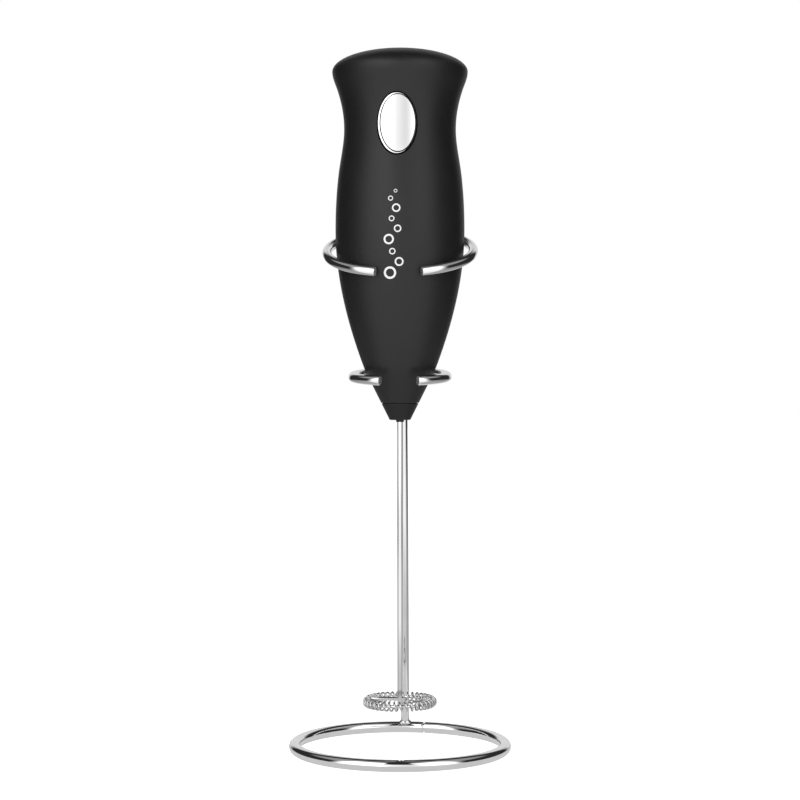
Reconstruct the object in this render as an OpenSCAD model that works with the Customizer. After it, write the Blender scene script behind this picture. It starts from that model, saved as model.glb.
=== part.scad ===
// Battery milk frother with a spring whisk, hanging in a wire stand.
// Millimetres. +Z is up, -Y is the front, and the origin is under the middle of the base ring.

/* [Stand] */
// Centre-line radius of the base ring
base_ring_r = 30.45; // [28:0.25:45]
// Wire diameter of the base ring
base_wire_d = 3.4; // [2.6:0.1:5]
// Diameter of the post
post_d = 2.6; // [2:0.1:3.4]
// How far a weld bead stands out past the post
bead_out = 0.25; // [0.1:0.05:0.6]
// Length of post that stands past the upper ring
post_over = 1.6; // [0.5:0.1:6]
// Wire diameter of the two cradle rings
cradle_wire_d = 2.75; // [2:0.05:3.5]
// Gap left round the handle's widest part inside the upper ring
upper_ring_gap = 1.1; // [0.8:0.1:4]
// Gap left round the cone inside the lower ring
lower_ring_gap = 2.9; // [2.4:0.1:5]
// Height of the upper ring's centre above the tip of the nose
upper_ring_up = 48.9; // [46:0.5:52]
// Height of the lower ring's centre above the tip of the nose
lower_ring_up = 12.6; // [10:0.5:16]
// How far the upper ring sits behind the handle's axis
upper_ring_back = 0.4; // [0.2:0.1:1]
// Forward tilt of the upper ring, in degrees
upper_tilt = 19.5; // [10:0.5:20]
// Forward tilt of the lower ring, in degrees
lower_tilt = 5.2; // [0:0.1:10]
// Half of the upper ring's front opening, in degrees
upper_open = 18; // [10:1:40]
// Half of the lower ring's front opening, in degrees
lower_open = 23; // [12:1:40]
// Turn of both front openings to the right, in degrees
opening_turn = 1.5; // [-5:0.5:5]

/* [Handle] */
// Height of the tip of the nose above the table
nose_z = 96.1; // [92:0.5:100]
// Radius at the tip of the nose
nose_r = 3; // [2.5:0.1:4]
// Height of the separate nose cap
nose_cap_h = 4.9; // [4.5:0.1:6]
// Height of the straight cone above the tip
cone_h = 11.9; // [11:0.1:14]
// Growth of the radius per unit of height on the cone
cone_slope = 0.5; // [0.45:0.01:0.56]
// Height of the widest part above the tip
belly_h = 54.9; // [52:0.5:62]
// Height of the top flare above the neck
flare_up = 16.6; // [14:0.2:20]
// Height of the domed top above the flare
dome_h = 6.5; // [6.2:0.1:10]
// How far the belly stands out past the neck
belly_out = 2.5; // [2:0.1:6]
// How far the flare stands out past the neck
flare_out = 3.45; // [2:0.1:6]
// Wall thickness of the shells
wall = 1.5; // [1.2:0.1:2]
// Width of the seam between the shells
seam = 0.12; // [0.08:0.02:0.3]
// Height of the battery cover's lower edge above the floor of the battery bay
cover_up = 8.8; // [7:0.2:14]

/* [Button] */
// Width of the button
button_w = 10.9; // [9:0.1:12.5]
// Height of the button
button_h = 17.3; // [15:0.1:20]
// Height of the button's middle above the neck
button_up = -0.1; // [-2:0.1:3]
// Gap all round the button
button_gap = 0.35; // [0.15:0.05:0.5]
// Travel of the button
button_travel = 1; // [0.6:0.1:1.1]
// Width of the hidden flange that keeps the button in
button_flange = 0.9; // [0.5:0.1:1.2]

/* [Batteries] */
// Diameter of one battery
battery_d = 14.2; // [13.5:0.1:17.2]
// Length of one battery with its nub
battery_l = 50.5; // [48:0.5:51]
// Height of the battery springs when squeezed
spring_h = 3.2; // [2.5:0.1:5]

/* [Motor and whisk] */
// Diameter of the motor can
motor_d = 20.4; // [17:0.1:20.8]
// Width of the motor can across its flats
motor_flat = 15.4; // [14.8:0.1:16]
// Length of the motor can
motor_l = 24; // [23:0.5:24.5]
// Diameter of the motor shaft
motor_shaft_d = 2; // [1.5:0.1:2.4]
// Diameter of the whisk shaft
whisk_shaft_d = 1.6; // [1.2:0.1:2]
// Diameter of the wire that carries the whisk spring
whisk_core_d = 0.9; // [0.7:0.1:1.2]
// Diameter of the spoke between the shaft and that wire
spoke_d = 1.1; // [0.9:0.1:1.2]
// Height of the spoke above the middle of that wire
spoke_up = 0.8; // [0:0.1:0.8]
// Centre-line radius of the whisk ring
whisk_r = 9.15; // [7:0.05:10.2]
// Radius of one turn of the whisk spring, to the middle of its wire
coil_r = 1.3; // [1:0.05:1.6]
// Diameter of the whisk spring's wire
coil_wire_d = 0.58; // [0.3:0.01:0.6]
// Number of turns in the whisk spring
coil_turns = 38; // [24:1:44]
// Height of the whisk ring above the table
whisk_z = 14.4; // [10:0.5:24]

/* [Hidden] */
$fn = 64;

// Small values used all over
fit = 0.05;
slack = 0.15;
past = 1;

// Battery bay, from the neck inwards
battery_gap = 0.3;
battery_x = battery_d / 2 + battery_gap / 2;
neck_r = battery_x + battery_d / 2 + 0.35 + wall;
belly_r = neck_r + belly_out;
flare_r = neck_r + flare_out;

// Radius between two knots, a smooth cubic with the knots' slopes
function blend_r(a, b, t) =
    let (h = b[0] - a[0], s = t * t, c = s * t)
    a[1] * (2 * c - 3 * s + 1) + a[2] * h * (c - 2 * s + t) + b[1] * (3 * s - 2 * c) + b[2] * h * (c - s);

// Radius of an outline at a height
function outline_r(knots, z) =
    let (i = max([for (k = [0 : len(knots) - 2]) if (knots[k][0] <= z) k]), a = knots[i], b = knots[i + 1])
    blend_r(a, b, (z - a[0]) / (b[0] - a[0]));

// Lower body. Each knot of the outline is a height, a radius and a slope
split_z = nose_z + nose_cap_h;
belly_z = nose_z + belly_h;
shoulder_h = 4;
shoulder_out = 1.8;
shoulder_slope = 0.37;
cone_top_r = nose_r + cone_slope * cone_h;
body_knots = [
    [nose_z, nose_r, cone_slope],
    [nose_z + cone_h, cone_top_r, cone_slope],
    [nose_z + cone_h + shoulder_h, cone_top_r + shoulder_out, shoulder_slope],
    [belly_z, belly_r, 0]];
nose_edge = 0.3;

// Coupling between the motor shaft and the whisk shaft
coupling_z = nose_z + 6.4;
coupling_h = 10;
coupling_r = 2.25;
coupling_gap = 0.5;

// Motor bay: the motor stands as low as the shell's taper and the coupling under it let it
motor_gap = 0.65;
lower_bush_out = 1.7;
taper_z = nose_z + min([for (h = [cone_h : 0.1 : belly_h])
    if (outline_r(body_knots, nose_z + h) - wall - motor_gap >= motor_d / 2) h]);
motor_z = max(taper_z, coupling_z + coupling_h + coupling_gap + lower_bush_out);
motor_top = motor_z + motor_l;
can_wall = 0.8;
ledge_t = 1.2;
ledge_hole_r = 4.2;
clamp_z = motor_z + 12;
clamp_h = 4.5;

// Battery tray
tray_z = motor_top + 2.2;
tray_t = 1.5;
contact_t = 0.3;
cell_low_z = tray_z + tray_t + contact_t;
cell_high_z = cell_low_z + spring_h;
bridge_z = cell_high_z + battery_l;
tray_top_z = bridge_z + contact_t;
tray_top_t = 1;
tray_wall_y = -battery_d / 2 - 0.3;
tray_wall_t = 1.2;
screw_r = 1.05;
screw_head_r = 2;
screw_head_h = 1.3;
boss_r = 2.2;
boss_h = 8;

// Upper handle, which closes round the battery bay
dome_sink = 2.7;
flare_z = tray_top_z + tray_top_t - dome_sink;
neck_z = flare_z - flare_up;
top_z = flare_z + dome_h;
cover_z = tray_z + cover_up;
button_z = neck_z + button_up;
waist_share = 0.556;
throat_share = 0.684;
outline_knots = concat(body_knots, [
    [belly_z + (neck_z - belly_z) * waist_share, neck_r + belly_out * 0.64, -0.12],
    [neck_z, neck_r, 0],
    [neck_z + flare_up * throat_share, neck_r + flare_out * 0.565, 0.33],
    [flare_z, flare_r, 0]]);
knot_steps = 6;
dome_steps = 10;
function handle_r(z) = outline_r(outline_knots, z);
tray_r = handle_r(tray_z) - wall - slack;
screw_y = tray_r - screw_head_r - 1.2;

// Button and switch. The flange sits as far forward as the round wall lets it
switch_w = 9;
switch_h = 9;
flange_t = 1;
flange_half_w = button_w / 2 + button_flange;
flange_y = flange_t - sqrt(pow(neck_r - wall - slack, 2) - pow(flange_half_w, 2));
switch_face_y = flange_y + button_travel + 0.2;
switch_t = tray_wall_y - tray_wall_t - switch_face_y;
stem_r = 1.4;
pocket_r = 3.5;
pocket_y = flange_y - 3.2;
crown_out = 0.35;

// Shaft and whisk
bush_r = 1.15;
bush_drop = 0.6;
coupling_meet_z = coupling_z + 4.5;
running = 0.03;

// ---- shared shapes ----

// Outline of the handle from the nose to the flare, as [radius, height]
function side_points(inset) = [
    for (i = [0 : len(outline_knots) - 2], j = [0 : knot_steps - 1])
        let (a = outline_knots[i], b = outline_knots[i + 1], t = j / knot_steps)
        [blend_r(a, b, t) - inset, a[0] + (b[0] - a[0]) * t]];

// Domed top, a quarter ellipse
function dome_points(inset) = [
    for (i = [0 : dome_steps - 1])
        let (a = 90 * i / dome_steps)
        [(flare_r - inset) * cos(a), flare_z + (dome_h - inset) * sin(a)]];

// Solid of the handle, or of its hollow when inset by the wall
module handle_solid(inset, low_z) {
    above = [for (p = side_points(inset)) if (p[1] > low_z + 0.01) p];
    rotate_extrude()
        polygon(concat([[0, low_z], [handle_r(low_z) - inset, low_z]], above, dome_points(inset),
            [[0, top_z - inset]]));
}

module tube(outer_r, inner_r, h) {
    difference() {
        cylinder(r = outer_r, h = h);
        translate([0, 0, -past]) cylinder(r = inner_r, h = h + 2 * past);
    }
}

// Straight round wire between two points in the YZ plane, given as [y, z]
module wire_yz(from, to, d) {
    run = to - from;
    translate([0, from[0], from[1]])
        rotate([-atan2(run[0], run[1]), 0, 0]) cylinder(d = d, h = norm(run));
}

// Open ring of round wire with its gap at the front
module open_ring(ring_r, wire_d, half_gap, tilt) {
    rotate([tilt, 0, 0]) rotate([0, 0, half_gap + opening_turn - 90])
        rotate_extrude(angle = 360 - 2 * half_gap) translate([ring_r, 0]) circle(d = wire_d);
}

// Oval plate that faces the front, between two depths
module oval(w, h, near_y, far_y) {
    translate([0, far_y, button_z]) rotate([90, 0, 0])
        linear_extrude(far_y - near_y)
            polygon([for (a = [0 : 6 : 354]) [w / 2 * cos(a), h / 2 * sin(a)]]);
}

// Keeps the part of its children that lies in front of the seam or above the cover's edge
module rear_window(grow) {
    translate([-2 * flare_r, -grow, cover_z - grow])
        cube([4 * flare_r, 2 * flare_r, top_z - cover_z + past]);
}

// Point on a smooth curve through the points of a route
function route_at(p, i, t) =
    let (n = len(p) - 1, a = p[max(i - 1, 0)], b = p[i], c = p[i + 1], d = p[min(i + 2, n)])
    0.5 * (2 * b + (c - a) * t + (2 * a - 5 * b + 4 * c - d) * t * t + (3 * b - a - 3 * c + d) * t * t * t);

function route_points(p, steps) =
    [for (i = [0 : len(p) - 2], j = [0 : steps - 1]) route_at(p, i, j / steps), p[len(p) - 1]];

function unit(v) = v / norm(v);

// Direction of a list of points at one of them
function heading(c, k, looped) =
    let (n = len(c))
    looped ? unit(c[(k + 1) % n] - c[(k + n - 1) % n]) : unit(c[min(k + 1, n - 1)] - c[max(k - 1, 0)]);

// Wire swept along points, with the sides turned from a reference direction for each point
module swept_wire(c, ref, d, sides, looped) {
    n = len(c);
    rings = [for (k = [0 : n - 1])
        let (t = heading(c, k, looped), u = unit(cross(t, ref[k])), v = cross(t, u))
        for (s = [0 : sides - 1]) c[k] + (u * cos(360 * s / sides) + v * sin(360 * s / sides)) * d / 2];
    last = looped ? n - 1 : n - 2;
    skin = [for (k = [0 : last], s = [0 : sides - 1])
        let (a = k * sides, b = ((k + 1) % n) * sides, q = (s + 1) % sides)
        each [[a + s, b + s, b + q], [a + s, b + q, a + q]]];
    ends = looped ? [] : [[for (s = [0 : sides - 1]) s],
        [for (s = [sides - 1 : -1 : 0]) (n - 1) * sides + s]];
    polyhedron(rings, concat(skin, ends));
}

// Lead along a route
module lead(route) {
    c = route_points(route, 4);
    swept_wire(c, [for (p = c) [0.31, 0.43, 0.85]], lead_d, 8, false);
}

// Cone or barrel spring standing on its end along Z
module coil_spring(low_r, high_r, h, d, turns) {
    steps = 10;
    rise = h - d;
    c = [for (k = [0 : turns * steps])
        let (a = 360 * k / steps, f = k / (turns * steps), r = low_r + (high_r - low_r) * f)
        [r * cos(a), r * sin(a), d / 2 + rise * f]];
    swept_wire(c, [for (p = c) [0, 0, 1]], d * 0.96, 6, false);
}

// ---- stand ----

module base_ring() {
    color("silver")
        translate([0, 0, base_wire_d / 2]) rotate_extrude() translate([base_ring_r, 0])
            circle(d = base_wire_d);
}

upper_ring_z = nose_z + upper_ring_up;
upper_ring_r = belly_r + upper_ring_gap + cradle_wire_d / 2;
lower_ring_z = nose_z + lower_ring_up;
lower_ring_r = handle_r(lower_ring_z) + lower_ring_gap + cradle_wire_d / 2;
weld_gap = (cradle_wire_d + post_d) / 2;
foot = [base_ring_r, base_wire_d / 2];
kink = [lower_ring_r * cos(lower_tilt) + weld_gap, lower_ring_z + lower_ring_r * sin(lower_tilt)];
hang = [upper_ring_r * cos(upper_tilt) + upper_ring_back + weld_gap,
    upper_ring_z + upper_ring_r * sin(upper_tilt)];

// Round weld bead at a point of the YZ plane
module weld_bead(at) {
    translate([0, at[0], at[1]]) sphere(r = post_d / 2 + bead_out);
}

// Straight wire from the base ring to the lower ring and on to the upper one, with its weld beads
module stand_post() {
    color("silver") difference() {
        union() {
            wire_yz(foot, kink, post_d);
            wire_yz(kink, hang + (hang - kink) / norm(hang - kink) * post_over, post_d);
            weld_bead(kink);
            weld_bead(hang);
        }
        base_ring();
        upper_ring();
        lower_ring();
    }
}

module upper_ring() {
    color("silver") translate([0, upper_ring_back, upper_ring_z])
        open_ring(upper_ring_r, cradle_wire_d, upper_open, upper_tilt);
}

module lower_ring() {
    color("silver") translate([0, 0, lower_ring_z])
        open_ring(lower_ring_r, cradle_wire_d, lower_open, lower_tilt);
}

// ---- handle shells ----

spigot_r = 4.15;
spigot_h = 2.6;
hollow_z = split_z + 3;

module front_shell() {
    color("dimgray") {
        difference() {
            handle_solid(0, split_z);
            handle_solid(wall, hollow_z);
            translate([0, 0, split_z - past]) cylinder(r = spigot_r + fit, h = hollow_z - split_z + 2 * past);
            rear_window(seam / 2);
            oval(button_w + 2 * button_gap, button_h + 2 * button_gap, -flare_r - past, 0);
        }
        intersection() {
            handle_solid(wall / 2, hollow_z);
            translate([0, 0, motor_z - ledge_t]) tube(handle_r(motor_z), ledge_hole_r, ledge_t);
        }
        intersection() {
            handle_solid(wall / 2, hollow_z);
            for (side = [-1, 1]) translate([0, side * screw_y, tray_z - boss_h]) difference() {
                union() {
                    cylinder(r = boss_r, h = boss_h);
                    translate([-0.6, side > 0 ? 0 : -2 * boss_r, 0]) cube([1.2, 2 * boss_r, boss_h]);
                }
                translate([0, 0, 1]) cylinder(r = screw_r + fit, h = boss_h);
            }
        }
    }
}

module nose_cap() {
    color("dimgray") difference() {
        union() {
            rotate_extrude() polygon([[0, nose_z], [nose_r - nose_edge, nose_z],
                [nose_r + nose_edge * cone_slope, nose_z + nose_edge],
                [nose_r + (nose_cap_h - seam) * cone_slope, split_z - seam], [0, split_z - seam]]);
            translate([0, 0, split_z - past]) cylinder(r = spigot_r, h = spigot_h + past);
        }
        translate([0, 0, nose_z - past]) cylinder(r = bush_r + fit / 2, h = nose_cap_h + 2 * past);
        translate([0, 0, split_z - 0.5]) cylinder(r = coupling_r + 0.65, h = spigot_h + past);
    }
}

module shaft_bush() {
    color("black") translate([0, 0, nose_z - bush_drop])
        tube(bush_r, whisk_shaft_d / 2 + running, nose_cap_h - 0.6 + bush_drop);
}

cover_tab_w = 10;
cover_tab_h = 5;
cover_tab_t = 0.9;

module battery_cover() {
    tab_r = handle_r(cover_z - cover_tab_h) - wall - slack;
    color("dimgray") {
        difference() {
            intersection() {
                handle_solid(0, split_z);
                rear_window(-seam / 2);
            }
            handle_solid(wall, hollow_z);
        }
        intersection() {
            translate([0, 0, cover_z - cover_tab_h])
                tube(tab_r, tab_r - cover_tab_t, cover_tab_h + 6);
            translate([-cover_tab_w / 2, 0, cover_z - cover_tab_h]) cube([cover_tab_w, flare_r, 30]);
        }
        intersection() {
            handle_solid(wall / 2, hollow_z);
            translate([-cover_tab_w / 2, tab_r - cover_tab_t, cover_z + seam])
                cube([cover_tab_w, wall + cover_tab_t, 5]);
        }
    }
}

// ---- battery bay ----

lead_d = 1.1;
lead_x = 8;
lead_y = tray_wall_y - tray_wall_t - 1.1;
lead_hole_r = lead_d / 2 + 0.3;
tray_wall_w = 19;

module battery_tray() {
    color("gainsboro") difference() {
        union() {
            translate([0, 0, tray_z]) cylinder(r = tray_r, h = tray_t);
            translate([-tray_wall_w / 2, tray_wall_y - tray_wall_t, tray_z])
                cube([tray_wall_w, tray_wall_t, tray_top_z - tray_z + tray_top_t]);
            translate([-0.8, tray_wall_y - 0.1, tray_z])
                cube([1.6, battery_d * 0.2, tray_top_z - tray_z + tray_top_t]);
            translate([0, 0, tray_top_z]) cylinder(r = neck_r - wall - 0.5, h = tray_top_t);
        }
        for (side = [-1, 1]) translate([0, side * screw_y, tray_z - past])
            cylinder(r = screw_r + slack, h = tray_t + 2 * past);
        translate([lead_x, lead_y, tray_z - past]) cylinder(r = lead_hole_r, h = tray_t + 2 * past);
        translate([battery_x + 4.4, 0, tray_z - past]) cylinder(r = lead_hole_r, h = tray_t + 2 * past);
        translate([-battery_x - 2.8, tray_wall_y + past, tray_z + tray_t + 1.5]) rotate([90, 0, 0])
            cylinder(r = lead_hole_r, h = tray_wall_t + 2 * past);
        translate([-1.3, tray_wall_y - tray_wall_t - past, bridge_z - contact_t])
            cube([2.6, tray_wall_t + battery_d * 0.2 + 2 * past, 2 * contact_t]);
    }
}

module tray_screws() {
    color("silver") for (side = [-1, 1]) translate([0, side * screw_y, tray_z + tray_t]) {
        difference() {
            cylinder(r1 = screw_head_r, r2 = screw_head_r * 0.8, h = screw_head_h);
            translate([-0.25, -screw_head_r, screw_head_h - 0.5])
                cube([0.5, 2 * screw_head_r, past]);
            translate([-screw_head_r, -0.25, screw_head_h - 0.5])
                cube([2 * screw_head_r, 0.5, past]);
        }
        translate([0, 0, -7]) cylinder(r = screw_r, h = 7);
        translate([0, 0, -8]) cylinder(r1 = 0.3, r2 = screw_r, h = 1);
    }
}

// One round cell standing on its flat end
module cell() {
    nub_r = 2.75;
    nub_h = 1.2;
    edge = 0.5;
    body_h = battery_l - nub_h;
    rotate_extrude() polygon([[0, 0], [battery_d / 2 - edge, 0], [battery_d / 2, edge],
        [battery_d / 2, body_h - edge], [battery_d / 2 - edge, body_h], [nub_r, body_h],
        [nub_r, battery_l - 0.2], [nub_r - 0.2, battery_l], [0, battery_l]]);
}

module battery_left() {
    color("goldenrod") translate([-battery_x, 0, cell_high_z]) cell();
}

module battery_right() {
    color("goldenrod") translate([battery_x, 0, cell_low_z + battery_l]) rotate([180, 0, 0]) cell();
}

module spring_lower() {
    color("lightgray") translate([-battery_x, 0, cell_low_z])
        coil_spring(4.2, 2.6, spring_h, 0.7, 3);
}

module spring_upper() {
    color("lightgray") translate([battery_x, 0, bridge_z]) rotate([180, 0, 0])
        coil_spring(4.2, 2.6, spring_h, 0.7, 3);
}

contact_w = 10.4;

module contact_plate(x) {
    translate([x - contact_w / 2, -contact_w / 2, tray_z + tray_t])
        cube([contact_w, contact_w, contact_t]);
}

module contact_negative() {
    color("lightgray") contact_plate(-battery_x);
}

module contact_positive() {
    color("lightgray") difference() {
        contact_plate(battery_x);
        translate([battery_x + 4.4, 0, tray_z]) cylinder(r = lead_d / 2 + fit, h = tray_t + 2 * past);
    }
}

module contact_bridge() {
    color("lightgray") translate([-battery_x - 4.6, -4.6, bridge_z])
        cube([2 * battery_x + 9.2, 9.2, contact_t]);
}

// ---- switch and button ----

switch_lead_x = switch_w / 2 - 1.2;
switch_low_z = button_z - switch_h / 2;

module switch_body() {
    color("black") difference() {
        translate([-switch_w / 2, switch_face_y, switch_low_z])
            cube([switch_w, switch_t, switch_h]);
        translate([0, switch_face_y + switch_t - 0.3, button_z]) rotate([90, 0, 0])
            cylinder(r = stem_r + fit, h = switch_t + past);
        for (side = [-1, 1]) translate([side * switch_lead_x, lead_y, switch_low_z - past])
            cylinder(r = lead_d / 2 + slack, h = 2 * past);
    }
}

module button_cap() {
    crown_low_r = handle_r(button_z - button_h / 2) + crown_out;
    crown_high_r = handle_r(button_z + button_h / 2) + crown_out;
    crown_mid_r = (crown_low_r + crown_high_r) / 2 + crown_out;
    color("whitesmoke") difference() {
        union() {
            intersection() {
                oval(button_w, button_h, -flare_r - past, flange_y);
                rotate_extrude() polygon([[0, button_z - button_h / 2 - 0.01],
                    [crown_low_r, button_z - button_h / 2 - 0.01], [crown_mid_r, button_z],
                    [crown_high_r, button_z + button_h / 2 + 0.01], [0, button_z + button_h / 2 + 0.01]]);
            }
            oval(button_w + 2 * button_flange, button_h + 2 * button_flange, flange_y - flange_t, flange_y);
        }
        translate([0, flange_y + past, button_z]) rotate([90, 0, 0])
            cylinder(r = pocket_r, h = flange_y - pocket_y + past);
    }
    color("whitesmoke") translate([0, switch_face_y + 0.6, button_z]) rotate([90, 0, 0])
        cylinder(r = stem_r, h = switch_face_y + 0.6 - pocket_y + 0.5);
}

module button_spring() {
    color("lightgray") translate([0, switch_face_y - 0.02, button_z]) rotate([90, 0, 0])
        coil_spring(2.5, 2.5, switch_face_y - pocket_y - 0.04, 0.45, 4);
}

// ---- leads ----

terminal_x = 7;
positive_route = [[battery_x + 4.4, 0, tray_z + tray_t + contact_t], [battery_x + 4.4, 0, tray_z + 0.5],
    [battery_x + 4, 0, tray_z - 1], [terminal_x + 1.2, 0, motor_top + 0.9]];
switch_route = [[-battery_x - 2.8, -contact_w / 2 - 0.8, tray_z + tray_t + 1.4],
    [-battery_x - 2.8, tray_wall_y - 1, tray_z + tray_t + 1.5], [-9, lead_y, tray_z + tray_t + 4],
    [-lead_x, lead_y, tray_z + 14], [-lead_x, lead_y, switch_low_z - 10], [-6, lead_y, switch_low_z - 5],
    [-switch_lead_x, lead_y, switch_low_z - 2], [-switch_lead_x, lead_y, switch_low_z + 0.8]];
motor_route = [[switch_lead_x, lead_y, switch_low_z + 0.8], [switch_lead_x, lead_y, switch_low_z - 2],
    [6, lead_y, switch_low_z - 5], [lead_x, lead_y, switch_low_z - 10],
    [lead_x, lead_y, tray_z + 14], [lead_x, lead_y, tray_z + 1],
    [6.5, lead_y + 1, tray_z - 1], [0, -6, motor_top + 1.1], [-5, -3.4, motor_top + 1.1],
    [-terminal_x, -1.7, motor_top + 0.9]];

module lead_positive() {
    color("red") lead(positive_route);
}

module lead_to_switch() {
    color("black") lead(switch_route);
}

module lead_to_motor() {
    color("black") lead(motor_route);
}

// ---- motor ----

// Round bar with two flats that face the front and the back
module flatted(r, flat, h) {
    intersection() {
        cylinder(r = r, h = h);
        translate([-r, -flat / 2, 0]) cube([2 * r, flat, h]);
    }
}

bush_outer_r = 3;
end_cap_t = 2;
end_cap_z = motor_top - end_cap_t;

module motor_can() {
    color("silver") translate([0, 0, motor_z]) difference() {
        flatted(motor_d / 2, motor_flat, motor_l);
        translate([0, 0, can_wall])
            flatted(motor_d / 2 - can_wall, motor_flat - 2 * can_wall, motor_l);
        translate([0, 0, -past]) cylinder(r = bush_outer_r + fit, h = 3 * past);
    }
}

brush_gap = 0.1;
brush_w = 2;
brush_t = 0.4;
brush_z = end_cap_z - 2;
commutator_r = 2.4;

module motor_end_cap() {
    color("white") difference() {
        translate([0, 0, end_cap_z])
            flatted(motor_d / 2 - can_wall - fit, motor_flat - 2 * can_wall - 2 * fit, end_cap_t);
        translate([0, 0, end_cap_z - past]) cylinder(r = bush_outer_r + fit, h = end_cap_t + 2 * past);
        for (side = [-1, 1]) translate([side * terminal_x, 0, end_cap_z + end_cap_t / 2])
            cube([brush_t + 2 * fit, brush_w + 2 * fit, end_cap_t + 2 * past], center = true);
    }
}

module motor_bushes() {
    color("goldenrod") {
        translate([0, 0, motor_z - lower_bush_out]) tube(bush_outer_r, motor_shaft_d / 2 + running, 3.2);
        translate([0, 0, end_cap_z]) tube(bush_outer_r, motor_shaft_d / 2 + running, end_cap_t);
    }
}

module motor_brushes() {
    arm = terminal_x - commutator_r - brush_gap + brush_t / 2;
    color("gold") for (side = [0, 180]) rotate([0, 0, side]) {
        translate([commutator_r + brush_gap, -brush_w / 2, brush_z]) cube([arm, brush_w, brush_t]);
        translate([terminal_x - brush_t / 2, -brush_w / 2, brush_z])
            cube([brush_t, brush_w, motor_top - brush_z + 1.6]);
    }
}

magnet_z = motor_z + 3;
magnet_h = 14;
armature_r = 6;
magnet_half_angle = 38;

module motor_magnets() {
    color("darkslategray") for (side = [0, 180])
        rotate([0, 0, side - magnet_half_angle]) translate([0, 0, magnet_z])
            rotate_extrude(angle = 2 * magnet_half_angle) translate([armature_r + 0.4, 0])
                square([motor_d / 2 - can_wall - fit - armature_r - 0.4, magnet_h]);
}

module motor_clamp() {
    outer_r = handle_r(clamp_z) - wall - slack;
    color("gainsboro") difference() {
        translate([0, 0, clamp_z]) cylinder(r = outer_r, h = clamp_h);
        translate([0, 0, clamp_z - past])
            flatted(motor_d / 2 + fit, motor_flat + 2 * fit, clamp_h + 2 * past);
        for (side = [-1, 1]) translate([0, side * (outer_r - 0.4), clamp_z - past])
            cylinder(r = 2, h = clamp_h + 2 * past);
    }
}

module motor_shaft() {
    color("silver") translate([0, 0, coupling_meet_z + 0.8])
        cylinder(d = motor_shaft_d, h = motor_top + 0.2 - coupling_meet_z - 0.8);
}

pole_t = 1.2;
neck_w = 2.2;
core_z = magnet_z + 2.5;
core_h = 9;
hub_r = 2.6;

module armature_core() {
    color("gray") translate([0, 0, core_z]) difference() {
        union() {
            cylinder(r = hub_r, h = core_h);
            for (a = [0 : 120 : 240]) rotate([0, 0, a]) {
                translate([0, -neck_w / 2, 0]) cube([armature_r - pole_t / 2, neck_w, core_h]);
                rotate([0, 0, -48]) rotate_extrude(angle = 96) translate([armature_r - pole_t, 0])
                    square([pole_t, core_h]);
            }
        }
        translate([0, 0, -past]) cylinder(d = motor_shaft_d + fit, h = core_h + 2 * past);
    }
}

module armature_coils() {
    coil_side = 1;
    coil_low_x = hub_r + 0.1;
    color("peru") for (a = [0 : 120 : 240]) rotate([0, 0, a]) difference() {
        translate([coil_low_x, -neck_w / 2 - coil_side, core_z - coil_side])
            cube([armature_r - pole_t - coil_low_x - 0.7, neck_w + 2 * coil_side, core_h + 2 * coil_side]);
        translate([0, -neck_w / 2 - fit, core_z - fit])
            cube([armature_r, neck_w + 2 * fit, core_h + 2 * fit]);
    }
}

module commutator() {
    color("peru") translate([0, 0, brush_z - 1.5]) difference() {
        tube(commutator_r, motor_shaft_d / 2 + fit / 2, 3.2);
        for (a = [60 : 120 : 300]) rotate([0, 0, a])
            translate([commutator_r - 0.6, -0.15, -past]) cube([past, 0.3, 6]);
    }
}

// ---- whisk ----

module shaft_coupling() {
    color("goldenrod") translate([0, 0, coupling_z]) difference() {
        cylinder(r = coupling_r, h = coupling_h);
        translate([0, 0, -past]) cylinder(d = whisk_shaft_d + fit, h = coupling_h);
        translate([0, 0, coupling_meet_z - coupling_z + 0.4])
            cylinder(d = motor_shaft_d + fit, h = coupling_h);
    }
}

shaft_end_z = whisk_z - 1.4;
coil_end_angle = 3.2;

module whisk_shaft() {
    color("silver") difference() {
        translate([0, 0, shaft_end_z]) cylinder(d = whisk_shaft_d, h = coupling_meet_z - shaft_end_z);
        translate([whisk_shaft_d, 0, whisk_z + spoke_up]) rotate([0, -90, 0])
            cylinder(d = spoke_d + fit, h = 2 * whisk_shaft_d);
    }
}

// Spoke through the shaft that runs out to the left and is joined to a closed ring
module whisk_core() {
    color("silver") translate([0, 0, whisk_z]) {
        rotate_extrude() translate([whisk_r, 0]) circle(d = whisk_core_d);
        translate([whisk_shaft_d / 2 + 0.4, 0, spoke_up]) rotate([0, -90, 0])
            cylinder(d = spoke_d, h = whisk_r + whisk_shaft_d / 2 + 0.4);
    }
}

// Open helix wound round the ring, whose two ends meet beside the spoke
module whisk_coil() {
    steps = 8;
    count = coil_turns * steps;
    spread = [for (k = [0 : count]) 180 + coil_end_angle + (360 - 2 * coil_end_angle) * k / count];
    turn = [for (k = [0 : count]) 360 * k / steps];
    c = [for (k = [0 : count])
        let (r = whisk_r + coil_r * cos(turn[k]))
        [r * cos(spread[k]), r * sin(spread[k]), whisk_z + coil_r * sin(turn[k])]];
    ref = [for (k = [0 : count])
        [cos(turn[k]) * cos(spread[k]), cos(turn[k]) * sin(spread[k]), sin(turn[k])]];
    color("lightgray") swept_wire(c, ref, coil_wire_d, 6, false);
}

base_ring();
stand_post();
upper_ring();
lower_ring();
front_shell();
nose_cap();
shaft_bush();
battery_cover();
battery_tray();
tray_screws();
battery_left();
battery_right();
spring_lower();
spring_upper();
contact_negative();
contact_positive();
contact_bridge();
switch_body();
button_cap();
button_spring();
lead_positive();
lead_to_switch();
lead_to_motor();
motor_can();
motor_end_cap();
motor_magnets();
motor_bushes();
motor_brushes();
motor_clamp();
motor_shaft();
armature_core();
armature_coils();
commutator();
shaft_coupling();
whisk_shaft();
whisk_core();
whisk_coil();
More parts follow.
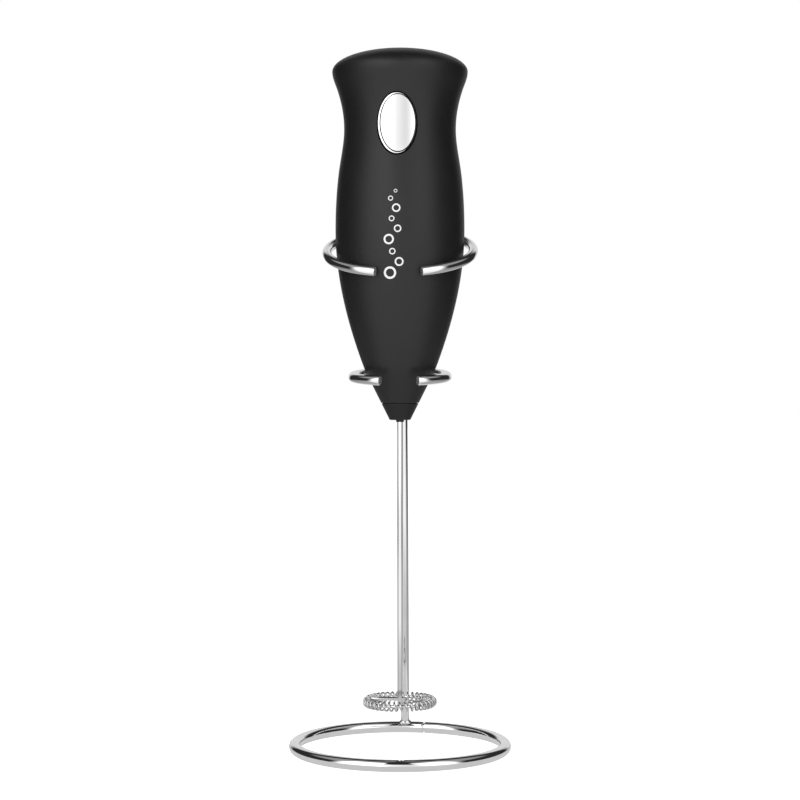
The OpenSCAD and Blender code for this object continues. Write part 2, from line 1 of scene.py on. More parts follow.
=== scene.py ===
import math

import bpy
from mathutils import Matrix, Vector


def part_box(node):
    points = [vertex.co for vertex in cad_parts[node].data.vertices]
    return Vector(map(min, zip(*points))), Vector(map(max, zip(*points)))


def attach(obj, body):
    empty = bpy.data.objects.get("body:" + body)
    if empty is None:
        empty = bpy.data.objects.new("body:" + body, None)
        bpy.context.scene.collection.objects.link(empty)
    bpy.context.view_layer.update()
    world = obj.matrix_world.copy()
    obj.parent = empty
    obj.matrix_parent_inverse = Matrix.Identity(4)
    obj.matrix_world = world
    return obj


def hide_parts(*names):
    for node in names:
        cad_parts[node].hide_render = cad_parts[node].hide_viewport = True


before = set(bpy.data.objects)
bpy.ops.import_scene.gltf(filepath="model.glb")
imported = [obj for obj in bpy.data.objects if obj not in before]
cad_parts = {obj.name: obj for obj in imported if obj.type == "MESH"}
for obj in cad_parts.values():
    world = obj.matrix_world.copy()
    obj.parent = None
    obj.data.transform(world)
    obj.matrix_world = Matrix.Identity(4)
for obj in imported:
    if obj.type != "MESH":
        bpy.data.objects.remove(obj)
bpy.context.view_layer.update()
MM = 0.001


# ---- Table and studio ----
# The frother stands on a white table in a white light tent. A broad soft light with a joint down
# it is in front, and the sides and the top are darker. The camera sees only white, and what the
# object reflects is the tent and the table. The table's uneven light is painted light: in
# reflections the table is near black and glows with a painted pattern of light and shade.
class Value:
    """A node's output, on which each arithmetic operator adds a Math node."""

    def __init__(self, tree, socket):
        self.tree = tree
        self.socket = socket

    def math(self, operation, *others):
        inputs = {0: self, **dict(enumerate(others, 1))}
        return self.tree.node("ShaderNodeMath", {"operation": operation}, inputs)

    def __add__(self, other):
        return self.math("ADD", other)

    __radd__ = __add__

    def __sub__(self, other):
        return self.math("SUBTRACT", other)

    def __rsub__(self, other):
        return self * -1 + other

    def __mul__(self, other):
        return self.math("MULTIPLY", other)

    __rmul__ = __mul__

    def __truediv__(self, other):
        return self.math("DIVIDE", other)

    def __pow__(self, other):
        return self.math("POWER", other)

    def __abs__(self):
        return self.math("ABSOLUTE")


class Tree:
    """The node tree of a material or of the world."""

    def __init__(self, owner):
        owner.use_nodes = True
        self.nodes = owner.node_tree.nodes
        self.links = owner.node_tree.links
        self.nodes.clear()

    def node(self, kind, settings=None, inputs=None, output=0):
        """Any node: its settings first, then the value or the link of each socket."""
        made = self.nodes.new(kind)
        for name, value in (settings or {}).items():
            setattr(made, name, value)
        for name, value in (inputs or {}).items():
            if isinstance(value, Value):
                self.links.new(value.socket, made.inputs[name])
            else:
                made.inputs[name].default_value = value
        if made.outputs:
            return Value(self, made.outputs[output])
        return None

    def place(self):
        return self.node("ShaderNodeTexCoord", output="Object")

    def split(self, vector):
        axes = range(3)
        parts = self.node("ShaderNodeSeparateXYZ", inputs={0: vector}).socket.node
        return [Value(self, parts.outputs[axis]) for axis in axes]

    def fade(self, value, low, high, low_value=0.0, high_value=1.0):
        """Runs smoothly from low_value to high_value while value goes from low to high."""
        inputs = {0: value, 1: low, 2: high, 3: low_value, 4: high_value}
        return self.node("ShaderNodeMapRange", {"interpolation_type": "SMOOTHSTEP"}, inputs)

    def noise(self, place, scale, detail=3.0, stretch=(1, 1, 1)):
        """Noise from 0 to 1, its scale in spots per metre."""
        stretched = self.node("ShaderNodeMapping", inputs={"Vector": place, "Scale": stretch})
        inputs = {"Vector": stretched, "Scale": scale, "Detail": detail}
        return self.node("ShaderNodeTexNoise", inputs=inputs)

    def mix(self, share, first, second):
        """The first colour where share is 0 and the second where it is 1."""
        inputs = {0: share, 6: (*first, 1) if isinstance(first, tuple) else first,
                  7: (*second, 1) if isinstance(second, tuple) else second}
        return self.node("ShaderNodeMix", {"data_type": "RGBA"}, inputs, output=2)

    def bump(self, height, depth):
        return self.node("ShaderNodeBump", inputs={"Height": height, "Distance": depth})

    def surface(self, **inputs):
        """Ends the tree in a Principled surface."""
        sockets = {name.replace("_", " "): value for name, value in inputs.items()}
        shader = self.node("ShaderNodeBsdfPrincipled", inputs=sockets)
        self.node("ShaderNodeOutputMaterial", inputs={0: shader})


def new_material(name):
    made = bpy.data.materials.new(name)
    return made, Tree(made)


tent = bpy.data.worlds.new("light_tent")
bpy.context.scene.world = tent
air = Tree(tent)
toward_x, toward_y, toward_z = air.split(air.node("ShaderNodeTexCoord", output="Generated"))
level = (toward_x * toward_x + toward_y * toward_y + 1e-6) ** 0.5
sideways = abs(toward_x) / level
in_front = air.fade(toward_y, 0.02, -0.02)
side_box = air.fade(sideways, 0.97, 0.85) * in_front
front_gap = air.fade(sideways, 0.36, 0.25) * in_front * air.fade(toward_z, 0.45, 0.60)
back_wall = air.fade(sideways, 0.62, 0.38) * (1 - in_front) * air.fade(toward_z, 0.72, 0.55)
roof_dark = air.fade(toward_z, 0.84, 0.92)
dark_level = 0.025
back_level = 0.7
side_level = 0.28
edge_box_level = 1.5
middle_box_level = 2.9
joint_shade = 0.65
core_shade = 0.2
rightward = toward_x / level
box_joint = air.fade(rightward, -0.35, -0.08) * air.fade(rightward, 0.80, 0.20)
joint_core = air.fade(rightward, -0.12, 0.2) * air.fade(rightward, 0.6, 0.25)
box_level = air.fade(sideways, 0.8, 0.1, edge_box_level, middle_box_level)
box_level = box_level * (1 - box_joint * joint_shade) * (1 - joint_core * core_shade)
side_above = air.fade(sideways, 0.80, 0.95) * air.fade(toward_z, 0.46, 0.60) * side_level
walls = side_above + side_box * box_level * (1 - front_gap) * (1 - roof_dark)
walls = walls + back_wall * back_level + dark_level
seen_by_camera = air.node("ShaderNodeLightPath", output="Is Camera Ray")
brightness = seen_by_camera + (1 - seen_by_camera) * walls
glow = air.node("ShaderNodeBackground", inputs={"Strength": brightness})
glow.socket.node.inputs["Color"].default_value = (1, 1, 1, 1)
air.node("ShaderNodeOutputWorld", inputs={0: glow})

table_half = 3.0
bpy.ops.object.select_all(action="DESELECT")
bpy.ops.mesh.primitive_plane_add(size=2 * table_half)
table = bpy.context.object
table.name = "table_top"
white_table_painted_light, paint = new_material("white_table_painted_light")
spot = paint.place()
spot_x, spot_y, _ = paint.split(spot)
spot_away = (spot_x * spot_x + spot_y * spot_y + 1e-9) ** 0.5
spot_front = paint.fade(spot_y / spot_away, -0.15, -0.65)
spot_back = paint.fade(spot_y / spot_away, 0.82, 0.95)
near_ring = paint.fade(spot_away, 0.062, 0.045)
near_front_level = 0.22
far_front_level = 1.15
back_table_level = 0.4
side_table_level = 0.27
near_table_level = 0.12
ring_table_level = 0.6
# Painted light: in reflections the table shows a glow laid out by place instead of real lighting, brighter
# far in front, behind and inside the base ring, and dimmer at the sides.
painted_table_light = spot_front * paint.fade(spot_away, 0.07, 0.30, near_front_level, far_front_level)
painted_table_light = painted_table_light + spot_back * back_table_level + paint.fade(spot_away, 0.75, 0.30) * side_table_level
painted_table_light = painted_table_light + paint.fade(spot_away, 0.35, 0.08) * near_table_level
painted_table_light = near_ring * ring_table_level + (1 - near_ring) * painted_table_light
cloud = paint.noise(spot, 40)
# Camera rays see an even white. All other rays see near-black paint whose emission is the painted light
# above.
direct = paint.node("ShaderNodeLightPath", output="Is Camera Ray")
painted_light_tone = paint.mix(painted_table_light, (0.0, 0.0, 0.0), (1.0, 1.0, 1.0))
bright = paint.mix(cloud, (0.80, 0.80, 0.80), (0.84, 0.84, 0.84))
paint.surface(Base_Color=paint.mix(direct, (0.02, 0.02, 0.02), bright), Roughness=0.8,
              Specular_IOR_Level=0.1, Emission_Color=paint.mix(direct, painted_light_tone, (0.8, 0.8, 0.8)),
              Emission_Strength=1.0)
table.data.materials.append(white_table_painted_light)

camera_away = 592 * MM
picture_height = 232 * MM
camera_turn = math.radians(3)
camera_height = 112 * MM
picture_shift = -0.04375
lens = bpy.data.cameras.new("camera")
lens.lens = lens.sensor_width * camera_away / picture_height
lens.shift_y = picture_shift
lens.clip_start = 0.02
camera = bpy.data.objects.new("camera", lens)
bpy.context.scene.collection.objects.link(camera)
camera.location = (camera_away * math.sin(camera_turn), -camera_away * math.cos(camera_turn), camera_height)
camera.rotation_euler = (math.pi / 2, 0, camera_turn)
bpy.context.scene.camera = camera
bpy.context.scene.view_settings.view_transform = "Standard"


# ---- Base ring ----
# One length of chromed steel wire, rolled into a ring that rests on the table. Its two ends
# are butt-welded at the back with a small step between them.
def added(name):
    """The object that the last operator added, under its own name."""
    made = bpy.context.object
    made.name = name
    return made


def choose(piece, kind, wanted):
    """In edit mode, selects the vertices, edges or faces that pass a test and no others."""
    bpy.ops.mesh.select_mode(type=kind)
    bpy.ops.mesh.select_all(action="DESELECT")
    bpy.ops.object.mode_set(mode="OBJECT")
    mesh = piece.data
    for part in {"VERT": mesh.vertices, "EDGE": mesh.edges, "FACE": mesh.polygons}[kind]:
        part.select = wanted(part)
    bpy.ops.object.mode_set(mode="EDIT")


def clean(merge=0.002 * MM):
    """In edit mode, merges doubled vertices and turns all faces outwards."""
    bpy.ops.mesh.select_all(action="SELECT")
    bpy.ops.mesh.remove_doubles(threshold=merge)
    bpy.ops.mesh.normals_make_consistent(inside=False)


def settle(piece, angle=35):
    """Ends the edit, puts the piece's place into its mesh and shades it smooth."""
    if piece.mode == "EDIT":
        bpy.ops.object.mode_set(mode="OBJECT")
    bpy.ops.object.select_all(action="DESELECT")
    piece.select_set(True)
    bpy.context.view_layer.objects.active = piece
    bpy.ops.object.transform_apply(location=True, rotation=True, scale=True)
    bpy.ops.object.shade_smooth_by_angle(angle=math.radians(angle))


def joined(name, pieces):
    """One object made of several."""
    bpy.ops.object.select_all(action="DESELECT")
    for piece in pieces:
        piece.select_set(True)
    bpy.context.view_layer.objects.active = pieces[0]
    bpy.ops.object.join()
    return added(name)


def give(piece, material):
    piece.data.materials.clear()
    piece.data.materials.append(material)


def fit_in(piece, body, slot, *nodes):
    """The piece rides a body and stands for its CAD nodes, which it hides. The slot is not used."""
    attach(piece, body)
    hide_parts(*nodes)


def wire_arc(name, radius, wire_r, start, sweep, steps, rounding):
    """Round wire bent about the Z axis, its two cut ends rounded off. Angles in degrees."""
    turn = math.radians(start)
    bpy.ops.object.select_all(action="DESELECT")
    bpy.ops.mesh.primitive_circle_add(
        vertices=32, radius=wire_r, fill_type="NGON",
        location=(radius * math.cos(turn), radius * math.sin(turn), 0), rotation=(math.pi / 2, 0, turn))
    arc = added(name)
    bpy.ops.object.mode_set(mode="EDIT")
    bpy.ops.mesh.select_all(action="SELECT")
    bpy.ops.mesh.spin(steps=steps, angle=math.radians(sweep), center=(0, 0, 0), axis=(0, 0, -1))
    clean()
    choose(arc, "FACE", lambda face: len(face.vertices) > 4)
    bpy.ops.mesh.bevel(offset=rounding, segments=4, affect="EDGES")
    settle(arc)
    return arc


def metal(name, tint, roughness, spots, stretch=(1, 1, 1), uneven=0.35, dent=0.0):
    """Bare or plated metal with fine streaks in its colour, polish and surface."""
    made, tree = new_material(name)
    place = tree.place()
    fine = tree.noise(place, spots, 4, stretch)
    broad = tree.noise(place, spots / 6, 2, stretch)
    dull = tuple(part * 0.9 for part in tint)
    polish = (fine + broad - 1) * (roughness * uneven) + roughness
    tree.surface(Base_Color=tree.mix(broad, tint, dull), Metallic=1.0, Roughness=polish,
                 Normal=tree.bump(fine, dent))
    return made


chrome = metal("bright_chrome", (0.93, 0.93, 0.94), 0.045, 900, dent=0.0015 * MM)
base_low, base_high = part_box("base_ring")
base_wire_r = (base_high.z - base_low.z) / 2
base_r = base_high.x - base_wire_r
weld_turn = 79
weld_gap = 0.45
weld_sunk = 0.5 * MM
base_wire = wire_arc("base_wire", base_r, base_wire_r, weld_turn + weld_gap, 360 - 2 * weld_gap,
                     steps=240, rounding=0.18 * MM)
weld_wire = wire_arc("base_weld", base_r, base_wire_r - weld_sunk, weld_turn - 2 * weld_gap, 4 * weld_gap,
                     steps=4, rounding=0.1 * MM)
base_wire = joined("base_wire", [base_wire, weld_wire])
base_wire.location.z = base_low.z + base_wire_r
settle(base_wire)
give(base_wire, chrome)
fit_in(base_wire, "stand", "stand_chrome", "base_ring")

# ---- Post ----
# A straight chromed wire leans in from the base ring to the lower cradle ring, bends there and
# leans out to the upper one. Rounded weld beads hold it to all three rings.
post_r = 1.3 * MM
bend_r = 14 * MM
cradle_wire_r = 1.375 * MM
upper_low, upper_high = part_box("upper_ring")
lower_low, lower_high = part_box("lower_ring")
upper_r = (upper_high.x - upper_low.x) / 2 - cradle_wire_r
lower_r = (lower_high.x - lower_low.x) / 2 - cradle_wire_r
upper_tilt = math.radians(19.5)
lower_tilt = math.radians(5.2)
nose_z = 96.1 * MM
upper_z = nose_z + 48.9 * MM
lower_z = nose_z + 12.6 * MM
upper_back = 0.4 * MM


def behind(ring_r, ring_z, tilt, back):
    """Where the post's axis passes behind a cradle ring."""
    touch_y = ring_r * math.cos(tilt) + back + cradle_wire_r + post_r
    return Vector((0, touch_y, ring_z + ring_r * math.sin(tilt)))


foot = Vector((0, base_r, base_low.z + base_wire_r))
kink = behind(lower_r, lower_z, lower_tilt, 0)
hang = behind(upper_r, upper_z, upper_tilt, upper_back)
rising = (kink - foot).normalized()
leaning = (hang - kink).normalized()
bend = rising.angle(leaning)
bend_start = kink - rising * bend_r * math.tan(bend / 2)
bend_middle = bend_start + Vector((0, rising.z, -rising.y)) * bend_r
bpy.ops.object.select_all(action="DESELECT")
bpy.ops.mesh.primitive_circle_add(vertices=32, radius=post_r, fill_type="NGON", location=foot,
                                  rotation=(math.atan2(-rising.y, rising.z), 0, 0))
post = added("post_wire")
bpy.ops.object.mode_set(mode="EDIT")
bpy.ops.mesh.select_all(action="SELECT")
bpy.ops.mesh.extrude_region_move(TRANSFORM_OT_translate={"value": bend_start - foot})
bpy.ops.mesh.spin(steps=16, angle=bend, center=bend_middle, axis=(1, 0, 0))
post_over = 1.6 * MM
bpy.ops.mesh.extrude_region_move(TRANSFORM_OT_translate={"value": hang + leaning * post_over - kink})
clean()
choose(post, "FACE", lambda face: len(face.vertices) > 4 and face.center.z > 0)
bpy.ops.mesh.bevel(offset=0.3 * MM, segments=4, affect="EDGES")
settle(post)
give(post, chrome)


def weld_bead(name, place, size):
    """A small uneven lump of weld metal."""
    bpy.ops.object.select_all(action="DESELECT")
    bpy.ops.mesh.primitive_uv_sphere_add(segments=32, ring_count=20, radius=1, location=place)
    bead = added(name)
    bead.scale = size
    bpy.ops.object.transform_apply(location=False, rotation=False, scale=True)
    ripples = bpy.data.textures.new(name, "CLOUDS")
    ripples.noise_scale = 1.1 * MM
    lumps = bead.modifiers.new("ripples", "DISPLACE")
    lumps.texture = ripples
    lumps.strength = 0.22 * MM
    lumps.mid_level = 0.9
    bpy.ops.object.modifier_apply(modifier=lumps.name)
    return bead


bead_size = (1.5 * MM, 0.9 * MM, 1.5 * MM)
foot_bead_size = (1.9 * MM, 1.7 * MM, 1.1 * MM)
foot_bead_place = foot + Vector((0, -0.2 * MM, 1.5 * MM))
beads = [
    weld_bead("weld_foot", foot_bead_place, foot_bead_size),
    weld_bead("weld_kink", kink - Vector((0, post_r, 0)), bead_size),
    weld_bead("weld_hang", hang - Vector((0, post_r, 0)), bead_size),
]
welds = joined("post_welds", beads)
settle(welds, 60)
give(welds, metal("plated_weld", (0.82, 0.82, 0.84), 0.16, 1400, dent=0.01 * MM))
fit_in(post, "stand", "stand_chrome", "stand_post")
fit_in(welds, "stand", "stand_chrome", "stand_post")

# ---- Cradle rings ----
# Two open rings of thinner chromed wire hold the handle. Each is welded to the post behind and
# has a gap at the front, with its two cut ends rounded and left dull in the middle.
upper_open = 18
lower_open = 23
opening_turn = 1.5
cut_end = metal("cut_end", (0.80, 0.80, 0.81), 0.42, 1600, dent=0.01 * MM)


def cradle(name, node, radius, height, back, tilt, opening):
    """An open ring of wire, tilted forwards, whose two end faces take the dull finish."""
    start = opening + opening_turn - 90
    ring = wire_arc(name, radius, cradle_wire_r, start, 360 - 2 * opening, steps=180, rounding=0.14 * MM)
    ring.rotation_euler.x = tilt
    ring.location = (0, back, height)
    settle(ring)
    give(ring, chrome)
    ring.data.materials.append(cut_end)
    for face in ring.data.polygons:
        face.material_index = int(len(face.vertices) > 4)
    fit_in(ring, "stand", "stand_chrome", node)


cradle("upper_cradle", "upper_ring", upper_r, upper_z, upper_back, upper_tilt, upper_open)
cradle("lower_cradle", "lower_ring", lower_r, lower_z, 0, lower_tilt, lower_open)

# ---- Handle ----
# Two moulded shells with a matt soft-touch coating: the front case, whose upper rear half is
# open, and the battery cover that closes it. A plain row of bubbles is printed down the front.
outline_knots = [(96.1, 3, 0.5), (108, 8.95, 0.5), (112, 10.75, 0.37), (151, 18.7, 0), (167.3, 17.8, -0.12),
                 (180.3, 16.2, 0), (191.65, 18.15, 0.33), (196.9, 19.65, 0)]
dome_h = 6.5
flare_z, flare_r = outline_knots[-1][:2]
wall = 1.5
seam = 0.12
split_z = 101.0
cover_z = 151.6
row_step = 0.7
dome_rows = 24


def handle_r(z):
    """Radius of the handle at a height, on smooth cubics between the knots."""
    for (z0, r0, slope0), (z1, r1, slope1) in zip(outline_knots, outline_knots[1:]):
        if z <= z1:
            rise = z1 - z0
            t = (z - z0) / rise
            start = (2 * t**3 - 3 * t**2 + 1) * r0 + (t**3 - 2 * t**2 + t) * rise * slope0
            return start + (3 * t**2 - 2 * t**3) * r1 + (t**3 - t**2) * rise * slope1
    return flare_r


def turned(name, outline, sides):
    """A skin turned about Z: a circle at the first (radius, height), drawn on through the rest."""
    tiny = 0.001
    outline = [(max(radius, tiny) * MM, height * MM) for radius, height in outline]
    bpy.ops.object.select_all(action="DESELECT")
    bpy.ops.mesh.primitive_circle_add(vertices=sides, radius=outline[0][0], location=(0, 0, outline[0][1]))
    skin = added(name)
    bpy.ops.object.mode_set(mode="EDIT")
    bpy.ops.mesh.select_all(action="SELECT")
    for (r0, z0), (r1, z1) in zip(outline, outline[1:]):
        bpy.ops.mesh.extrude_edges_move(TRANSFORM_OT_translate={"value": (0, 0, z1 - z0)})
        bpy.ops.transform.resize(value=(r1 / r0, r1 / r0, 1), center_override=(0, 0, z1))
    clean()
    bpy.ops.object.mode_set(mode="OBJECT")
    return skin


def apply_modifier(piece, kind, **settings):
    bpy.context.view_layer.objects.active = piece
    change = piece.modifiers.new(kind.lower(), kind)
    for name, value in settings.items():
        setattr(change, name, value)
    bpy.ops.object.modifier_apply(modifier=change.name)


side_rows = int((flare_z - split_z) / row_step)
side = []
for k in range(side_rows):
    row_z = split_z + (flare_z - split_z) * k / side_rows
    side.append((handle_r(row_z), row_z))
dome = []
for k in range(dome_rows + 1):
    turn = math.pi / 2 * k / dome_rows
    dome.append((flare_r * math.cos(turn), flare_z + dome_h * math.sin(turn)))
front_case = turned("front_case", side + dome, 144)
bpy.ops.object.duplicate()
rear_cover = added("battery_cover_shell")

half_seam = seam / 2 * MM
edge_z = cover_z * MM
bpy.ops.object.mode_set(mode="EDIT")
bpy.ops.mesh.select_all(action="SELECT")
bpy.ops.mesh.bisect(plane_co=(0, half_seam, 0), plane_no=(0, 1, 0), clear_inner=True)
bpy.ops.mesh.select_all(action="SELECT")
bpy.ops.mesh.bisect(plane_co=(0, 0, edge_z + half_seam), plane_no=(0, 0, 1), clear_inner=True)
bpy.ops.object.mode_set(mode="OBJECT")

bpy.context.view_layer.objects.active = front_case
bpy.ops.object.select_all(action="DESELECT")
front_case.select_set(True)
bpy.ops.object.mode_set(mode="EDIT")
for cut_place, cut_way in (((0, -half_seam, 0), (0, 1, 0)), ((0, 0, edge_z - half_seam), (0, 0, 1))):
    bpy.ops.mesh.select_all(action="SELECT")
    bpy.ops.mesh.bisect(plane_co=cut_place, plane_no=cut_way)
origin_z = front_case.location.z
choose(front_case, "FACE",
       lambda face: face.center.y > -half_seam and face.center.z + origin_z > edge_z - half_seam)
bpy.ops.mesh.delete(type="FACE")
bpy.ops.object.mode_set(mode="OBJECT")

lip = 0.08 * MM
for shell in (front_case, rear_cover):
    bpy.ops.object.select_all(action="DESELECT")
    shell.select_set(True)
    apply_modifier(shell, "SOLIDIFY", thickness=wall * MM, offset=-1, use_even_offset=True)
    apply_modifier(shell, "BEVEL", width=lip, segments=2, limit_method="ANGLE",
                   angle_limit=math.radians(50), use_clamp_overlap=False)
    settle(shell)

button_low, button_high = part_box("button_cap")
button_middle_z = (button_low.z + button_high.z) / 2
button_w = 10.9 * MM
button_h = 17.3 * MM
button_gap = 0.35 * MM
hole_w = button_w + 2 * button_gap
hole_h = button_h + 2 * button_gap
outside_y = -30 * MM


def oval_disc(name, width, height, across, depth, sides=96):
    """A flat oval that faces the front, at a place across the handle and a depth."""
    bpy.ops.object.select_all(action="DESELECT")
    bpy.ops.mesh.primitive_circle_add(vertices=sides, radius=0.5, fill_type="NGON",
                                      location=(across, depth, button_middle_z),
                                      rotation=(math.pi / 2, 0, 0))
    disc = added(name)
    disc.scale = (width, height, 1)
    bpy.ops.object.transform_apply(location=True, rotation=True, scale=True)
    return disc


cutter = oval_disc("hole_cutter", hole_w, hole_h, 0, outside_y)
bpy.ops.object.mode_set(mode="EDIT")
bpy.ops.mesh.select_all(action="SELECT")
bpy.ops.mesh.extrude_region_move(TRANSFORM_OT_translate={"value": (0, -outside_y, 0)})
clean()
settle(cutter)
apply_modifier(front_case, "BOOLEAN", operation="DIFFERENCE", object=cutter, solver="EXACT")
bpy.data.objects.remove(cutter)
settle(front_case)

bubbles = [(-1.9, 138.0, 1.75), (0.7, 141.1, 1.25), (-1.2, 144.0, 0.9), (-2.2, 147.4, 1.45),
           (0.3, 150.4, 1.05), (-1.4, 153.2, 0.8), (-0.1, 156.2, 1.2), (-1.7, 158.9, 0.7),
           (-0.3, 161.0, 0.5)]
ring_share = 0.34
ink_edge = 0.04 * MM
unprinted_y = -8 * MM
printed_y = -10 * MM


def soft_touch(name, printed, sheen=0.42):
    """Matt black rubber-like coating with a fine grain, and silver bubbles if it is printed."""
    made, tree = new_material(name)
    place = tree.place()
    grain = tree.noise(place, 2400, 3)
    cloudy = tree.noise(place, 160, 3)
    tone = tree.mix(cloudy, (0.0085, 0.0085, 0.009), (0.012, 0.012, 0.0125))
    polish = grain * 0.10 + cloudy * 0.04 + 0.38
    shine = 0.0
    if printed:
        across, depth, height = tree.split(place)
        ink = 0.0
        for x, z, radius in bubbles:
            apart = ((across - x * MM) ** 2 + (height - z * MM) ** 2) ** 0.5
            outer = radius * MM
            inner = radius * (1 - ring_share) * MM
            disc = tree.fade(apart, outer + ink_edge, outer - ink_edge)
            hole = tree.fade(apart, inner + ink_edge, inner - ink_edge)
            ink = disc - hole + ink
        ink = ink * tree.fade(depth, unprinted_y, printed_y)
        tone = tree.mix(ink, tone, (0.88, 0.88, 0.89))
        shine = ink * 0.25
    tree.surface(Base_Color=tone, Roughness=polish, Metallic=shine, Specular_IOR_Level=sheen,
                 Normal=tree.bump(grain, 0.03 * MM))
    return made


give(front_case, soft_touch("soft_touch_printed", True))
give(rear_cover, soft_touch("soft_touch_black", False))
fit_in(front_case, "handle", "soft_touch_black", "front_shell")
fit_in(rear_cover, "cover", "soft_touch_black", "battery_cover")

# ---- Nose ----
# The tip of the handle is a small separate cap below a fine parting line. A black bush in its
# bore guides the whisk shaft and shows a little below the tip.
nose_low, nose_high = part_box("nose_cap")
nose_foot = nose_low.z / MM
nose_r = 3
nose_slope = 0.5
nose_bore = 1.2
nose_seam = split_z - seam
spigot_r = 4.15
seam_r = 4.95
spigot_z = nose_high.z / MM
corner = 0.12
foot_loop = 0.5
seam_loop = 0.3
nose_shaded_sheen = 0.33


def rounded(outline, size, steps=4):
    """An outline of (radius, height) points whose inner corners are rounded off by quadratic arcs."""
    made = [outline[0]]
    for before, here, after in zip(outline, outline[1:], outline[2:]):
        before, here, after = Vector(before), Vector(here), Vector(after)
        start = here + (before - here).normalized() * min(size, (before - here).length / 2)
        end = here + (after - here).normalized() * min(size, (after - here).length / 2)
        for k in range(steps + 1):
            t = k / steps
            made.append(tuple(start * (1 - t) ** 2 + here * 2 * t * (1 - t) + end * t ** 2))
    return made + [outline[-1]]


cone = [(nose_r + up * nose_slope, nose_foot + up)
        for up in (0, foot_loop, nose_seam - nose_foot - seam_loop, nose_seam - nose_foot)]
nose = turned("nose_tip", rounded([
    (nose_bore, spigot_z), (nose_bore, nose_foot), *cone, (seam_r, nose_seam),
    (seam_r, split_z + seam / 2), (spigot_r, split_z + seam / 2), (spigot_r, spigot_z),
    (nose_bore, spigot_z)], corner), 128)
settle(nose)
# The nose takes a copy of the handle's coating with a lower specular level, so it renders darker: painted
# shade on the same coating.
give(nose, soft_touch("soft_touch_nose_painted_shade", False, nose_shaded_sheen))
fit_in(nose, "handle", "soft_touch_black", "nose_cap")

bush_low, bush_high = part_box("shaft_bush")
bush_r = bush_high.x / MM
shaft_r = 0.8
bush = turned("tip_bush", rounded([
    (shaft_r, bush_high.z / MM), (shaft_r, bush_low.z / MM), (bush_r, bush_low.z / MM),
    (bush_r, bush_high.z / MM), (shaft_r, bush_high.z / MM)], 0.2), 64)
settle(bush)


def plastic(name, tint, roughness, grain_scale, grain_depth):
    """Moulded plastic with a fine spark-eroded grain."""
    made, tree = new_material(name)
    place = tree.place()
    grain = tree.noise(place, grain_scale, 3)
    cloudy = tree.noise(place, grain_scale / 30, 2)
    other = tuple(min(1, part * 0.86) for part in tint)
    tree.surface(Base_Color=tree.mix(cloudy, tint, other), Roughness=grain * 0.1 + roughness,
                 Specular_IOR_Level=0.4, Normal=tree.bump(grain, grain_depth))
    return made


give(bush, plastic("bush_black", (0.012, 0.012, 0.013), 0.4, 3000, 0.004 * MM))
fit_in(bush, "handle", "bush_black", "shaft_bush")

# ---- Button ----
# An oval chromed cap, crowned to follow the handle, with a lower rim that shows as a fine
# crescent on the left. A black slide shows as a dark line round its top, and behind the cap are
# the slide's skirt, the flange that keeps it in, and the stem. Their black is partly painted
# shade: it stands in for the shade deep in the gap round the cap.
flange_w = button_high.x - button_low.x
flange_h = button_high.z - button_low.z
flange_y = -11.99 * MM
flange_t = 1 * MM
skirt_y = -15.2 * MM
skirt_in = 0.3 * MM
stem_w = 2.8 * MM
start_y = -28 * MM
cap_depth = 1.5 * MM
crown_margin = 1
crown_out = 0.35
crown_bulge = 0.42
seam_sunk = 0.27
rim_round = 0.2 * MM
top_round = 0.3 * MM
seam_round = 0.05 * MM
cap_rings = 14


def crown_form(name, raised):
    """The turned surface that a cap's face follows: the handle's, let out, with a crown."""
    low = button_middle_z / MM - button_h / MM / 2 - crown_margin
    high = button_middle_z / MM + button_h / MM / 2 + crown_margin
    ends = [handle_r(low) + raised, handle_r(high) + raised]
    rows = 32
    points = []
    for k in range(rows + 1):
        t = k / rows
        out = ends[0] * (1 - t) + ends[1] * t + crown_bulge * 4 * t * (1 - t)
        points.append((out, low + (high - low) * t))
    return turned(name, points, 256)


def cap(name, width, height, across, raised, rim):
    """An oval cap: a disc with rings inside it, laid on its form, with a skirt and a round rim."""
    form = crown_form("cap_form", raised)
    settle(form)
    face = oval_disc(name, width, height, across, start_y)
    bpy.ops.object.mode_set(mode="EDIT")
    bpy.ops.mesh.select_all(action="SELECT")
    for ring in range(cap_rings, 1, -1):
        bpy.ops.mesh.extrude_region_move()
        smaller = (ring - 1) / ring
        bpy.ops.transform.resize(value=(smaller, 1, smaller),
                                 center_override=(across, start_y, button_middle_z))
    bpy.ops.mesh.poke()
    bpy.ops.object.mode_set(mode="OBJECT")
    settle(face)
    apply_modifier(face, "SHRINKWRAP", target=form, wrap_method="PROJECT", use_project_x=False,
                   use_project_y=True, use_project_z=False, use_positive_direction=True,
                   use_negative_direction=False)
    bpy.data.objects.remove(form)
    bpy.ops.object.select_all(action="DESELECT")
    face.select_set(True)
    bpy.context.view_layer.objects.active = face
    bpy.ops.object.mode_set(mode="EDIT")
    bpy.ops.mesh.select_mode(type="EDGE")
    bpy.ops.mesh.select_all(action="DESELECT")
    bpy.ops.mesh.select_non_manifold(extend=False)
    bpy.ops.mesh.extrude_edges_move(TRANSFORM_OT_translate={"value": (0, cap_depth, 0)})
    bpy.ops.object.mode_set(mode="OBJECT")
    apply_modifier(face, "BEVEL", width=rim, segments=4, limit_method="ANGLE",
                   angle_limit=math.radians(50))
    return face


rim_cap = cap("button_rim", button_w, button_h, 0, 0, rim_round)
top_w = button_w - 0.8 * MM
top_h = button_h - 1.0 * MM
top_across = 0.3 * MM
top_cap = cap("button_top", top_w, top_h, top_across, crown_out, top_round)
button = joined("button", [rim_cap, top_cap])
settle(button, 40)
give(button, metal("button_chrome", (0.95, 0.95, 0.96), 0.11, 600, dent=0.0008 * MM))
fit_in(button, "button", "button_chrome", "button_cap")


